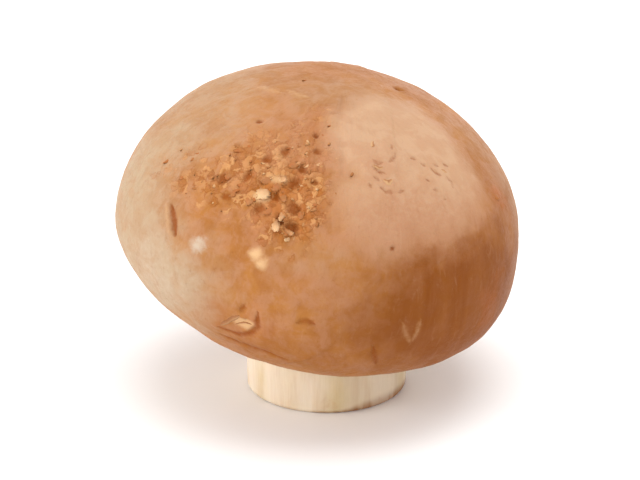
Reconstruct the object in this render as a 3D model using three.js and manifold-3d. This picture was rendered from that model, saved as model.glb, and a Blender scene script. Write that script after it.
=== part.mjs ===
// A closed-cup brown button mushroom, picked, with its stem trimmed short, standing on the cut end.
// Millimetres, +Z up. The origin is the centre of the cut end of the stem, on the surface that the
// mushroom stands on. -Y is the front.
//
// Two pieces: the cap, whose margin is still rolled in and joined to the stem by an unbroken veil,
// and the stem, whose upper end sits in a socket in the flesh of the cap, where it would snap out.

import * as THREE from "three";
import { mergeVertices } from "three/addons/utils/BufferGeometryUtils.js";
import Module from "manifold-3d";

const wasm = await Module();
wasm.setup();

// ---- Driving dimensions ------------------------------------------------------------------------

const CAP_RADIUS = 24.8; // mean radius at the widest level
const DOME_HEIGHT = 19.3; // crown above the widest level
const FLANK_DEPTH = 15.8; // how far below the widest level the flank would close
const FLANK_FULLNESS = 2.3; // superellipse exponent of the flank: 2 is an ellipse, more is fuller
const FLANK_SWEEP = THREE.MathUtils.degToRad(58); // how far the flank turns under to the margin
const CAP_LEVEL = 21.6; // height of the widest level above the surface
const CAP_SHIFT_X = -0.55; // how far the cap sits off the line of the stem
const CAP_LEAN = THREE.MathUtils.degToRad(8.0); // the crown leans towards +X
const MARGIN_SHIFT = 2.2; // the margin stays over the stem, this far towards +X in the leaning cap

const LIP_RADIUS = 1.3; // the rolled-in margin
const VEIL_RISE = 1.3; // the veil climbs this far from the margin to the stem

const THREE_LOBE = 0.014; // share of the radius: the cap is slightly three-cornered
const TWO_LOBE = 0.01; // slightly oval
const FIVE_LOBE = 0.004; // with faint bumps round it
const MARGIN_WAVE = 0.45; // rise and fall of the margin

const STEM_RADIUS = 10.0; // at the middle
const STEM_BASE_RADIUS = 9.8; // at the cut
const STEM_TOP_RADIUS = 8.6; // inside the cap
const STEM_HEIGHT = 17.5; // from the cut to the top, inside the cap
const STEM_OVALNESS = 0.012; // share of the radius
const CUT_BEVEL = 0.5; // the cut edge is slightly rubbed down
const SOCKET_GAP = 0.3; // clearance between the stem and its socket

const CAP_SEGMENTS = 84;
const STEM_SEGMENTS = 48;
const DOME_STEPS = 16;
const FLANK_STEPS = 11;
const LIP_STEPS = 5;
const VEIL_STEPS = 3;

// ---- Solids ------------------------------------------------------------------------------------

/** A closed geometry as a manifold-3d solid. */
function toSolid(geometry) {
  const bare = geometry.clone();
  bare.deleteAttribute("normal");
  bare.deleteAttribute("uv");
  const merged = mergeVertices(bare, 1e-4);
  return new wasm.Manifold(
    new wasm.Mesh({
      numProp: 3,
      vertProperties: merged.attributes.position.array,
      triVerts: new Uint32Array(merged.index.array),
    }),
  );
}

/** A manifold-3d solid as a three.js geometry with smooth normals. */
function toGeometry(solid) {
  const mesh = solid.getMesh();
  const geometry = new THREE.BufferGeometry();
  geometry.setAttribute("position", new THREE.BufferAttribute(mesh.vertProperties, 3));
  geometry.setIndex(new THREE.BufferAttribute(mesh.triVerts, 1));
  geometry.computeVertexNormals();
  return geometry;
}

/** Turns a profile of (radius, height) points round the Z axis. */
function turned(profile, segments) {
  return new THREE.LatheGeometry(profile, segments).rotateX(Math.PI / 2);
}

/** Moves every vertex of a geometry to move(x, y, z). */
function reshape(geometry, move) {
  const position = geometry.getAttribute("position");
  for (let i = 0; i < position.count; i++) {
    position.setXYZ(i, ...move(position.getX(i), position.getY(i), position.getZ(i)));
  }
  return geometry;
}

// ---- Cap ---------------------------------------------------------------------------------------

/** A point of the flank, turned by angle below the widest level. */
function flankPoint(angle) {
  const power = 2 / FLANK_FULLNESS;
  return new THREE.Vector2(
    CAP_RADIUS * Math.cos(angle) ** power,
    -FLANK_DEPTH * Math.sin(angle) ** power,
  );
}

/** The direction straight out of the flank at one of its points. */
function flankNormal(point) {
  const power = FLANK_FULLNESS - 1;
  return new THREE.Vector2(
    (point.x / CAP_RADIUS) ** power / CAP_RADIUS,
    -((-point.y / FLANK_DEPTH) ** power) / FLANK_DEPTH,
  ).normalize();
}

/** The cap's outline from the axis under the veil, round the margin and flank, to the crown. */
function capProfile() {
  const flank = [];
  for (let i = 0; i < FLANK_STEPS; i++) {
    flank.push(flankPoint(FLANK_SWEEP * (1 - i / FLANK_STEPS)));
  }
  const dome = new THREE.EllipseCurve(0, 0, CAP_RADIUS, DOME_HEIGHT, 0, Math.PI / 2);

  // The lip is an arc that carries the flank on, under and back up to the veil.
  const outward = flankNormal(flank[0]);
  const lipCentre = flank[0].clone().addScaledVector(outward, -LIP_RADIUS);
  const lipStart = outward.angle() - 2 * Math.PI;
  const lipEnd = -Math.PI * 0.86;
  const lip = new THREE.EllipseCurve(
    lipCentre.x, lipCentre.y, LIP_RADIUS, LIP_RADIUS, lipEnd, lipStart,
  );

  const veilOuter = lip.getPoint(0);
  const veilInner = new THREE.Vector2(STEM_RADIUS - 1, veilOuter.y + VEIL_RISE);
  const veil = new THREE.QuadraticBezierCurve(
    veilInner,
    new THREE.Vector2((veilInner.x + veilOuter.x) / 2, veilInner.y),
    veilOuter,
  );

  const points = [
    new THREE.Vector2(0, veilInner.y),
    ...veil.getPoints(VEIL_STEPS),
    ...lip.getPoints(LIP_STEPS).slice(1, -1),
    ...flank,
    ...dome.getPoints(DOME_STEPS),
  ];
  points[points.length - 1].x = 0; // the crown lies on the axis
  return points;
}

/** Takes the cap off round: low lobes, a margin that rises and falls, and the margin's shift. */
function growUneven(x, y, z) {
  const azimuth = Math.atan2(y, x);
  const spread = THREE.MathUtils.smoothstep(Math.hypot(x, y), 0, 0.8 * CAP_RADIUS);
  const below = THREE.MathUtils.smoothstep(-z, 0, FLANK_DEPTH);
  const grow =
    1 +
    spread *
      (-THREE_LOBE * Math.cos(3 * azimuth) +
        TWO_LOBE * Math.cos(2 * azimuth) +
        FIVE_LOBE * Math.cos(5 * azimuth + 1.1));
  const wave = MARGIN_WAVE * Math.cos(2 * azimuth + 0.9);
  return [x * grow + MARGIN_SHIFT * below, y * grow, z + wave * below];
}

function makeCap(socket) {
  const shape = reshape(turned(capProfile(), CAP_SEGMENTS), growUneven)
    .rotateY(CAP_LEAN)
    .translate(CAP_SHIFT_X, 0, CAP_LEVEL);
  const skin = new THREE.MeshStandardMaterial({ color: 0xb97b48, roughness: 0.55, metalness: 0 });
  const cap = new THREE.Mesh(toGeometry(toSolid(shape).subtract(toSolid(socket))), skin);
  cap.name = "cap";
  return cap;
}

// ---- Stem --------------------------------------------------------------------------------------

/** The stem's shape, grown by gap all over except at the cut. */
function stemGeometry(gap) {
  const side = new THREE.SplineCurve([
    new THREE.Vector2(STEM_BASE_RADIUS + gap, CUT_BEVEL),
    new THREE.Vector2(STEM_RADIUS + gap, STEM_HEIGHT * 0.33),
    new THREE.Vector2((STEM_RADIUS + STEM_TOP_RADIUS) / 2 + gap, STEM_HEIGHT * 0.7),
    new THREE.Vector2(STEM_TOP_RADIUS + gap, STEM_HEIGHT + gap),
  ]);
  const profile = [
    new THREE.Vector2(0, 0),
    new THREE.Vector2(STEM_BASE_RADIUS - CUT_BEVEL + gap, 0),
    ...side.getPoints(10),
    new THREE.Vector2(0, STEM_HEIGHT + gap),
  ];
  return turned(profile, STEM_SEGMENTS).scale(1 + STEM_OVALNESS, 1 - STEM_OVALNESS, 1);
}

function makeStem() {
  const flesh = new THREE.MeshStandardMaterial({ color: 0xe8d6bb, roughness: 0.8, metalness: 0 });
  const stem = new THREE.Mesh(stemGeometry(0), flesh);
  stem.name = "stem";
  return stem;
}

// ---- Mushroom ----------------------------------------------------------------------------------

const mushroom = new THREE.Group();
mushroom.add(makeCap(stemGeometry(SOCKET_GAP)), makeStem());

export default mushroom;
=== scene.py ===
import math

import bpy
import numpy as np
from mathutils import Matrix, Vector, noise


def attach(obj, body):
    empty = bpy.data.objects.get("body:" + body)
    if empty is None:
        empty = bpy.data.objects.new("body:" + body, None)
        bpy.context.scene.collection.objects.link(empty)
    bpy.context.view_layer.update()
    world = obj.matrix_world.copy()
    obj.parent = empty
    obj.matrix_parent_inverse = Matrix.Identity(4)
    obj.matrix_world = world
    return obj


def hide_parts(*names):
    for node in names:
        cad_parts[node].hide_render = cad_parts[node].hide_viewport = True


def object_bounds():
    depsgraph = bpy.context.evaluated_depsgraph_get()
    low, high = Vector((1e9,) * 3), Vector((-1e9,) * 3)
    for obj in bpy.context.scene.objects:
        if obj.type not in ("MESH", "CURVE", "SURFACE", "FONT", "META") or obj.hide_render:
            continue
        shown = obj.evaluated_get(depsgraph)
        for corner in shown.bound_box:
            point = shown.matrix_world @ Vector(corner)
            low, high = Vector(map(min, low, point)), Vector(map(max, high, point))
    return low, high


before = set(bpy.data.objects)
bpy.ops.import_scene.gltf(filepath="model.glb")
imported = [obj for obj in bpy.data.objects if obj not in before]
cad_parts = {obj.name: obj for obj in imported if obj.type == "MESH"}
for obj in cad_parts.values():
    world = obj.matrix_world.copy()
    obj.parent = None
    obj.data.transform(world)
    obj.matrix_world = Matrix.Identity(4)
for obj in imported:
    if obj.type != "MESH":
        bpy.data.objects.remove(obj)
cad_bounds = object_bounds()

# ---- Cap -----------------------------------------------------------------------------------------
# The cap is a dome of firm white flesh under a thin brown skin, about 50 mm across. Its margin is still
# rolled in. The skin grows with the flesh and splits where the flesh outgrows it, so it has smooth
# patches, scaly ones, wrinkles and a few torn places.

mm = 0.001
CAP_RADIUS = 24.8 * mm
DOME_HEIGHT = 19.3 * mm
FLANK_DEPTH = 15.8 * mm
FLANK_FULLNESS = 2.3
FLANK_SWEEP = math.radians(58)
CAP_LEVEL = 21.6 * mm
CAP_SHIFT_X = -0.55 * mm
CAP_LEAN = math.radians(8.0)
MARGIN_SHIFT = 2.2 * mm
LIP_RADIUS = 1.3 * mm
VEIL_RISE = 1.3 * mm
THREE_LOBE = 0.014
TWO_LOBE = 0.01
FIVE_LOBE = 0.004
MARGIN_WAVE = 0.45 * mm
STEM_RADIUS = 10.0 * mm


def smoothstep(value, low, high):
    """0 below low, 1 above high, and a smooth rise between them."""
    share = np.clip((value - low) / (high - low), 0, 1)
    return share * share * (3 - 2 * share)


def cap_outline():
    """Radius and height of the cap's outline, from the crown down round the margin to the axis."""
    dome_turn = np.linspace(math.pi / 2, 0, 300)
    dome = np.column_stack((CAP_RADIUS * np.cos(dome_turn), DOME_HEIGHT * np.sin(dome_turn)))
    flank_turn = np.linspace(0, FLANK_SWEEP, 200)[1:]
    power = 2 / FLANK_FULLNESS
    flank = np.column_stack(
        (CAP_RADIUS * np.cos(flank_turn) ** power, -FLANK_DEPTH * np.sin(flank_turn) ** power)
    )
    end = flank[-1]
    outward = np.array(
        (
            (end[0] / CAP_RADIUS) ** (FLANK_FULLNESS - 1) / CAP_RADIUS,
            -((-end[1] / FLANK_DEPTH) ** (FLANK_FULLNESS - 1)) / FLANK_DEPTH,
        )
    )
    outward /= np.linalg.norm(outward)
    lip_centre = end - outward * LIP_RADIUS
    lip_turn = np.linspace(math.atan2(outward[1], outward[0]), -0.86 * math.pi, 60)[1:]
    lip = lip_centre + LIP_RADIUS * np.column_stack((np.cos(lip_turn), np.sin(lip_turn)))
    under = np.array(((STEM_RADIUS, lip[-1][1] + VEIL_RISE), (0, lip[-1][1] + VEIL_RISE)))
    margin = len(dome) + len(flank)
    return np.vstack((dome, flank, lip, under)), margin, margin + len(lip)


outline, margin_index, lip_index = cap_outline()
outline[0, 0] = 0
outline_down = np.append(0, np.cumsum(np.hypot(*np.diff(outline, axis=0).T)))
MARGIN_DOWN = outline_down[margin_index - 1]  # from the crown to where the lip starts
LIP_DOWN = outline_down[lip_index - 1]  # to where the veil starts
AXIS_DOWN = outline_down[-1]


def cap_surface(azimuth, down):
    """Points of the smooth cap at an azimuth, in radians, and a distance down from the crown."""
    radius = np.interp(down, outline_down, outline[:, 0])
    height = np.interp(down, outline_down, outline[:, 1])
    x, y, z = radius * np.cos(azimuth), radius * np.sin(azimuth), height
    spread = smoothstep(radius, 0, 0.8 * CAP_RADIUS)
    below = smoothstep(-z, 0, FLANK_DEPTH)
    grow = 1 + spread * (
        -THREE_LOBE * np.cos(3 * azimuth)
        + TWO_LOBE * np.cos(2 * azimuth)
        + FIVE_LOBE * np.cos(5 * azimuth + 1.1)
    )
    x, y = x * grow + MARGIN_SHIFT * below, y * grow
    z = z + MARGIN_WAVE * below * np.cos(2 * azimuth + 0.9)
    lean_cos, lean_sin = math.cos(CAP_LEAN), math.sin(CAP_LEAN)
    return np.stack(
        (x * lean_cos + z * lean_sin + CAP_SHIFT_X, y, -x * lean_sin + z * lean_cos + CAP_LEVEL),
        axis=-1,
    )


def cap_axes(azimuth, down):
    """Unit vectors across (round the cap), downhill and outward at points of the smooth cap."""
    step = 0.05 * mm
    reach = np.maximum(np.interp(down, outline_down, outline[:, 0]), 0.2 * mm)
    across = cap_surface(azimuth + step / reach, down) - cap_surface(azimuth - step / reach, down)
    downhill = cap_surface(azimuth, down + step) - cap_surface(azimuth, np.maximum(down - step, 0))
    across /= np.maximum(np.linalg.norm(across, axis=-1, keepdims=True), 1e-12)
    downhill -= across * np.sum(across * downhill, axis=-1, keepdims=True)
    downhill /= np.maximum(np.linalg.norm(downhill, axis=-1, keepdims=True), 1e-12)
    return across, downhill, np.cross(downhill, across)


CAP_COLUMNS = 400
CAP_ROWS = 236
UNDER_ROWS = 6
FRONT_CROWDING = 0.45  # the columns stand closer together at the front

column_turn = np.linspace(0, 2 * math.pi, CAP_COLUMNS, endpoint=False)
column_azimuth = column_turn - FRONT_CROWDING * np.cos(column_turn)
skin_down = np.linspace(0, LIP_DOWN, CAP_ROWS)[1:]
row_down = np.append(skin_down, np.linspace(LIP_DOWN, AXIS_DOWN, UNDER_ROWS + 1)[1:-1])
azimuth_grid, down_grid = np.meshgrid(column_azimuth, row_down)
skin = cap_surface(azimuth_grid, down_grid)
skin_downhill, skin_outward = cap_axes(azimuth_grid, down_grid)[1:]


def noise_field(points, size, octaves=1, seed=0.0):
    """Smooth noise from about -1 to 1 at points, with lumps of one size, in metres."""
    shift = Vector((seed * 7.31, seed * 3.17, seed * 5.93))
    flat = points.reshape(-1, 3) / size
    values = [noise.fractal(Vector(p) + shift, 0.9, 2.0, octaves) for p in flat.tolist()]
    return np.array(values).reshape(points.shape[:-1])


EDGE_WOBBLE = 1.6 * mm  # how far the edges of patches wander
wobble = np.stack([noise_field(skin, 3.0 * mm, 3, seed) for seed in (1, 2)], axis=-1) * EDGE_WOBBLE


def patch(azimuth, down, wide, tall, edge=0.35, ragged=1.0):
    """A soft-edged oval on the cap, 1 inside: its place, its half width and half height in mm."""
    centre_azimuth, centre_down = np.array(math.radians(azimuth)), np.array(down * mm)
    centre = cap_surface(centre_azimuth, centre_down)
    across, downhill, outward = cap_axes(centre_azimuth, centre_down)
    offset = skin - centre
    u = offset @ across + ragged * wobble[..., 0]
    w = offset @ downhill + ragged * wobble[..., 1]
    reach = np.hypot(u / (wide * mm), w / (tall * mm))
    facing = skin_outward @ outward > 0.1
    return facing * (1 - smoothstep(reach, 1 - edge, 1 + edge))


def distance_to_line(places):
    """Distance of each point of the skin from a curve through places, with its share along it."""
    places = np.array(places, float)
    knots = np.linspace(0, 1, len(places))
    share = np.linspace(0, 1, 12 * len(places))
    azimuth = np.interp(share, knots, np.radians(places[:, 0]))
    down = np.interp(share, knots, places[:, 1] * mm)
    line = cap_surface(azimuth, down)
    nearest = np.full(skin.shape[:2], 1.0)
    along = np.zeros(skin.shape[:2])
    for point, position in zip(line, share):
        gap = np.linalg.norm(skin - point, axis=-1)
        closer = gap < nearest
        nearest[closer] = gap[closer]
        along[closer] = position
    return nearest, along


def line(places, half_width, taper=0.25):
    """A soft line over the skin, 1 along its middle, that thins out towards its ends."""
    gap, along = distance_to_line(places)
    ends = smoothstep(along, -0.02, taper) * (1 - smoothstep(along, 1 - taper, 1.02))
    width = half_width * mm * (0.35 + 0.65 * ends)
    return np.exp(-((gap / width) ** 2))


def lines(table, half_width):
    """Several soft lines of one width."""
    return np.max([line(places, half_width) for places in table], axis=0)


# Patches are (azimuth in degrees, mm down from the crown, half width, half height, edge, strength), with
# sizes in mm and a wider soft edge the nearer edge is to 1. The front is at azimuth -90.
SCALY = (
    (-114, 20.5, 7.0, 6.0, 0.4, 1.0),
    (-105, 23.0, 4.5, 5.5, 0.4, 1.0),
    (-103, 13.0, 4.5, 6.0, 0.45, 0.6),
    (-131, 23.0, 6.5, 4.0, 0.5, 0.65),
    (-150, 25.0, 5.0, 3.5, 0.6, 0.3),
    (80, 23, 9.0, 7.0, 0.4, 0.9),
    (140, 29, 8.0, 5.0, 0.5, 0.7),
)
SMOOTH_PALE = (
    (-55, 13.6, 9.0, 9.0, 0.25, 0.9),
    (-50, 18.5, 8.2, 7.0, 0.35, 0.9),
    (-73, 21, 5.5, 6.0, 0.45, 0.75),
    (118, 19, 12.0, 6.0, 0.6, 0.65),
)
# FAIR_AND_SHEEN patches are paler, greyer skin. The one at azimuth 0 is a painted highlight along the
# right rim, and those on the lit upper and lower left are partly painted sheen.
FAIR_AND_SHEEN = (
    (-164, 33, 8.5, 14.0, 0.5, 1.0),
    (-143, 38, 8.5, 6.5, 0.6, 1.0),
    (-95, 4, 9.0, 5.0, 0.8, 0.3),
    (-160, 17, 9.0, 6.0, 0.7, 0.45),
    (-95, 29, 4.0, 2.5, 0.8, 0.25),
    (0, 30, 3.5, 12.0, 0.9, 0.3),
    (175, 20, 12.0, 10.0, 0.6, 0.6),
    (120, 34, 8.0, 8.0, 0.6, 0.45),
    (50, 36, 7.0, 6.0, 0.6, 0.4),
)
# RUSTY_AND_SHADE patches are deeper brown low on the flank. Those low on the right side are partly
# painted shade, darkening the side turned away from the light.
RUSTY_AND_SHADE = (
    (-43, 36, 15.0, 10.0, 0.4, 0.94),
    (-16, 33, 7.0, 10.0, 0.6, 0.45),
    (-90, 44, 14.0, 4.0, 0.7, 0.35),
    (80, 38, 16.0, 7.0, 0.6, 0.8),
    (160, 43, 10.0, 6.0, 0.6, 0.7),
)
ROSY = (
    (-62, 23.5, 9.5, 4.0, 0.6, 0.8),
    (-42, 24.0, 6.0, 3.0, 0.7, 0.6),
    (-73, 17.0, 3.0, 3.0, 0.8, 0.5),
    (-122, 14.0, 6.0, 4.0, 0.8, 0.5),
    (-92, 32.0, 5.0, 3.0, 0.8, 0.4),
    (100, 28.0, 9.0, 4.0, 0.8, 0.5),
)
FLUSHED = (
    (-72.5, 16.8, 2.0, 1.5, 0.9, 0.28),
    (-71.0, 19.4, 1.8, 1.1, 0.9, 0.28),
    (-43.5, 18.4, 1.9, 1.4, 0.9, 0.28),
    (-32, 37.5, 2.4, 4.0, 0.9, 0.4),
    (-16, 24.5, 1.9, 1.6, 0.9, 0.55),
    (-117, 39.8, 8.0, 3.0, 0.9, 0.35),
    (-108, 23.5, 5.0, 4.5, 0.8, 0.5),
    (-100, 11.5, 3.0, 6.0, 0.8, 0.35),
    (95, 35, 4.0, 3.0, 0.8, 0.5),
)


def zone(patches, ragged=1.0):
    """The strongest of several patches at each point."""
    shares = [strength * patch(*place, ragged=ragged) for *place, strength in patches]
    return np.max(shares, axis=0)


def spots(table):
    """The strongest of several patches, each with its own raggedness."""
    return np.max([strength * patch(*place) for *place, strength in table], axis=0)


pale = zone(SMOOTH_PALE, ragged=0.5)
scaly = zone(SCALY) * (1 - 0.9 * pale)
fair = zone(FAIR_AND_SHEEN) * (1 - scaly)
rusty = zone(RUSTY_AND_SHADE) * (1 - 0.85 * pale)
flushed = zone(FLUSHED) * (1 - 0.3 * pale)
rosy = zone(ROSY)

# Lines are places along them, as (azimuth in degrees, mm down from the crown).
SLIT = ((-144.6, 28.6), (-141.2, 30.1), (-138.8, 31.7))
PATCH_EDGE = ((-93.0, 3.9), (-92.5, 10.8), (-88.5, 13.0), (-88.5, 17.9))
FOLDS = (
    ((-75.0, 27.2), (-66.0, 28.8), (-52.0, 29.4), (-36.0, 28.0)),
    ((-162.5, 16.3), (-149.0, 13.9)),
    ((-152.5, 16.8), (-135.0, 15.2)),
    ((-146.0, 18.0), (-136.0, 16.9)),
    ((88.0, 26.0), (104.0, 27.5), (120.0, 26.5)),
    ((150.0, 20.0), (165.0, 22.0), (178.0, 21.5)),
)
CROWN_STREAKS = (
    ((-174.0, 10.6), (-168.0, 9.6), (-156.0, 8.5)),
    ((-157.0, 7.4), (-146.0, 7.0), (-134.0, 6.4)),
    ((75.0, 10.5), (96.0, 11.5)),
)
PALE_MARKS = (
    ((-146.6, 28.8), (-143.4, 30.3), (-141.0, 31.9)),
    ((-66.0, 36.4), (-64.4, 38.2), (-62.8, 39.6)),
    ((-62.2, 39.4), (-61.0, 37.9), (-60.2, 36.2)),
)
FLAP_SHADE = ((-108.6, 37.4), (-109.2, 39.6), (-112.5, 41.1), (-116.5, 41.9), (-123.0, 41.4))
# The first line is a painted shadow along the underside of the rolled margin, where shade falls; it is
# also grooved. The others are cuts in the skin.
MARGIN_CUTS_AND_SHADOW = (
    ((-124.8, 42.9), (-118.6, 43.9), (-110.0, 44.1), (-101.5, 45.2)),
    ((-114.2, 38.0), (-112.8, 36.8)),
    ((-97.0, 37.7), (-94.0, 37.1), (-91.5, 37.5)),
    ((-74.3, 40.0), (-73.5, 42.0), (-72.6, 43.8)),
    ((40.0, 40.0), (44.0, 41.5)),
    ((130.0, 36.0), (133.0, 38.5)),
)
DRY_LINES = (
    ((-74.2, 15.4), (-72.0, 16.0), (-69.4, 15.7)),
    ((-67.0, 15.7), (-64.0, 15.5), (-61.4, 14.5)),
    ((-62.4, 13.9), (-61.0, 13.1)),
    ((-75.2, 16.4), (-72.4, 17.2), (-69.6, 17.3)),
    ((-75.0, 17.9), (-73.0, 18.3)),
    ((-73.4, 19.2), (-71.0, 19.9), (-67.6, 19.9)),
    ((-66.2, 20.1), (-63.8, 19.7)),
    ((-77.4, 18.8), (-76.6, 19.4)),
    ((-54.4, 15.5), (-52.0, 15.8)),
    ((-50.6, 16.5), (-49.0, 17.0)),
    ((-47.4, 17.3), (-45.6, 18.3), (-43.6, 18.7)),
    ((-44.6, 17.0), (-42.6, 17.4)),
    ((-41.4, 18.9), (-40.0, 19.9), (-41.2, 20.6)),
    ((-38.6, 17.3), (-36.8, 17.8)),
    ((-52.4, 18.7), (-51.4, 19.0)),
    ((-50.6, 20.2), (-49.2, 20.4)),
    ((-47.6, 21.6), (-46.6, 21.7)),
    ((108.0, 18.0), (113.0, 19.2), (112.0, 20.2)),
    ((118.0, 18.0), (122.0, 19.0)),
    ((124.0, 20.5), (128.0, 21.2)),
)
PITS = (  # azimuth, mm down, radius, depth
    (-105.5, 17.9, 0.75, 0.45),
    (-107.0, 20.4, 0.9, 0.6),
    (-104.8, 23.3, 0.8, 0.7),
    (-103.6, 25.6, 0.95, 0.8),
    (-108.0, 25.3, 0.6, 0.5),
    (-115.5, 24.9, 0.7, 0.45),
    (-112.0, 22.6, 0.6, 0.4),
    (-117.0, 16.3, 0.6, 0.35),
    (-121.5, 18.0, 0.6, 0.3),
    (-124.0, 21.5, 0.6, 0.35),
    (-133.5, 22.7, 0.7, 0.35),
    (-128.0, 24.6, 0.5, 0.3),
    (-99.5, 19.6, 0.5, 0.3),
    (-101.0, 15.2, 0.5, 0.3),
    (-104.5, 12.5, 0.4, 0.35),
    (-70.2, 26.7, 0.38, 0.25),
    (-139.5, 13.7, 0.4, 0.3),
    (21.5, 7.6, 0.4, 0.35),
    (78.0, 24.0, 0.9, 0.6),
    (84.0, 21.0, 0.6, 0.5),
    (73.0, 20.0, 0.6, 0.4),
    (137.0, 30.0, 0.7, 0.5),
)
# The first two are painted highlights: pale cream spots over low bumps where glints fall. The other two
# are bare flesh in tears.
TORN_AND_GLINTS = (  # azimuth, mm down, half width, half height, edge, raggedness, strength
    (-112.2, 30.1, 0.95, 0.9, 0.9, 0.3, 0.9),
    (-109.2, 31.0, 0.9, 0.75, 0.9, 0.3, 0.8),
    (-116, 23.2, 1.0, 0.9, 0.6, 0.25, 0.8),
    (-113.5, 20.6, 1.3, 0.7, 0.8, 0.3, 0.6),
)
# The first is a painted highlight: a small whitish spot over a low bump where a glint falls. The second
# is a pale cool tint on the lower left, partly painted sheen.
CHALK_AND_GLINTS = (
    (-130.5, 31.3, 0.8, 1.1, 0.9, 0.4, 0.75),
    (-145, 38, 7.0, 5.5, 0.9, 1.0, 0.42),
)
FLAP_FLOOR = (-113.8, 39.7, 1.8, 1.0, 0.4, 0.15)
FLAP_OUTLINE = ((-124.5, 41.4), (-116.0, 39.3), (-111.5, 37.8), (-109.5, 39.1), (-115.0, 41.6))
BUMPS = (  # azimuth, mm down, radius, height
    (-168.0, 31.0, 17.0, 0.5),
    (-130.5, 31.4, 1.6, 0.14),
    (-127.0, 42.0, 2.6, 0.4),
    (-111.0, 30.5, 1.5, 0.14),
    (-95.0, 29.5, 2.4, 0.14),
    (-17.0, 24.2, 1.2, 0.14),
    (-70.0, 17.0, 3.4, 0.12),
    (-46.0, 18.0, 3.2, 0.12),
)
LUMP_HEIGHT = 0.3 * mm
GRAIN_HEIGHT = 0.24 * mm
CRUMB_HEIGHT = 0.13 * mm

slit = line(SLIT, 0.5)
slit_border = line(SLIT, 1.2)
patch_edge = line(PATCH_EDGE, 0.6)
folds = lines(FOLDS, 0.6)
crown_streaks = lines(CROWN_STREAKS, 0.7)
pale_marks = lines(PALE_MARKS, 0.5)
margin_cuts_and_shadow = lines(MARGIN_CUTS_AND_SHADOW, 0.45)
dry_lines = lines(DRY_LINES, 0.3)
pits, pit_depth = np.zeros_like(down_grid), np.zeros_like(down_grid)
for azimuth, down, radius, depth in PITS:
    shape = patch(azimuth, down, radius, radius, 0.7, ragged=0.35)
    pits = np.maximum(pits, shape)
    pit_depth = np.maximum(pit_depth, shape * depth * mm)
flap_floor = patch(*FLAP_FLOOR)
flap_shade = line(FLAP_SHADE, 0.5)
flap_rim = line(FLAP_OUTLINE + FLAP_OUTLINE[:1], 0.4, taper=0.01)
bumps = sum(h * mm * patch(a, d, r, r, 0.8, ragged=0.2) for a, d, r, h in BUMPS)

relief = (
    LUMP_HEIGHT * noise_field(skin, 15 * mm, 2, 3)
    + 0.35 * LUMP_HEIGHT * noise_field(skin, 5 * mm, 2, 4)
    + GRAIN_HEIGHT * scaly * np.clip(noise_field(skin, 1.5 * mm, 2, 5), -0.8, 0.8)
    + CRUMB_HEIGHT * scaly * noise_field(skin, 0.8 * mm, 2, 8)
    + 0.025 * mm * noise_field(skin, 1.0 * mm, 2, 6)
    + 0.22 * mm * pale
    + 0.14 * mm * slit_border
    - 0.4 * mm * slit
    - 0.1 * mm * patch_edge
    - 0.10 * mm * folds
    + 0.07 * mm * crown_streaks
    + 0.09 * mm * pale_marks
    - 0.22 * mm * margin_cuts_and_shadow
    - pit_depth
    + 0.14 * mm * flap_rim
    - 0.25 * mm * flap_floor
    - 0.15 * mm * flap_shade
    - 0.1 * mm * dry_lines
    + bumps
)
shell = down_grid < LIP_DOWN
relief *= shell * smoothstep(LIP_DOWN - down_grid, 0, 2 * mm)
skin_points = skin + skin_outward * relief[..., None]


def skin_place(azimuth, down):
    """Points of the skin itself, bumps and all, at an azimuth, in radians, and a distance down."""
    turned = (azimuth - column_azimuth[0]) % (2 * math.pi) + column_azimuth[0]
    columns = np.append(column_azimuth, column_azimuth[0] + 2 * math.pi)
    column = np.interp(turned, columns, np.arange(len(columns)))
    row = np.clip(np.interp(down, row_down, np.arange(len(row_down))), 0, len(row_down) - 1.001)
    left, top = np.floor(column).astype(int), np.floor(row).astype(int)
    across, below = column - left, row - top
    near, far = left % CAP_COLUMNS, (left + 1) % CAP_COLUMNS
    upper = relief[top, near] * (1 - across) + relief[top, far] * across
    lower = relief[top + 1, near] * (1 - across) + relief[top + 1, far] * across
    height = upper * (1 - below) + lower * below
    return cap_surface(azimuth, down) + cap_axes(azimuth, down)[2] * height[..., None]


def smooth_mesh(name, corners, faces):
    """A mesh that is shaded smooth."""
    mesh = bpy.data.meshes.new(name)
    mesh.from_pydata(corners, [], faces)
    mesh.polygons.foreach_set("use_smooth", [True] * len(mesh.polygons))
    return mesh


def new_object(data, name=None):
    """An object in the scene for a mesh, light or camera, whose name it has unless one is given."""
    made = bpy.data.objects.new(name or data.name, data)
    bpy.context.scene.collection.objects.link(made)
    return made


def skin_mesh(name, points, crown, foot):
    """A closed mesh from rows of points that run round it, between a top and a bottom point."""
    rows, columns = points.shape[:2]
    corners = np.vstack((points.reshape(-1, 3), crown, foot))
    index = np.arange(rows * columns).reshape(rows, columns)
    after = np.roll(index, -1, axis=1)
    quads = np.stack((index[:-1], index[1:], after[1:], after[:-1]), axis=-1).reshape(-1, 4)
    top, bottom = rows * columns, rows * columns + 1
    caps = [(top, index[0, i], after[0, i]) for i in range(columns)]
    caps += [(bottom, after[-1, i], index[-1, i]) for i in range(columns)]
    return smooth_mesh(name, corners.tolist(), quads.tolist() + caps)


def keep_values(mesh, name, values):
    """Keeps one value for each point of a mesh, for its material to read."""
    attribute = mesh.attributes.new(name, "FLOAT", "POINT")
    attribute.data.foreach_set("value", np.array(values, np.float32))


def store(mesh, name, grid, crown=0.0, foot=0.0):
    """Keeps the values of a skin's rows of points, and of its top and bottom points."""
    keep_values(mesh, name, np.append(grid.ravel(), (crown, foot)))


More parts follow.
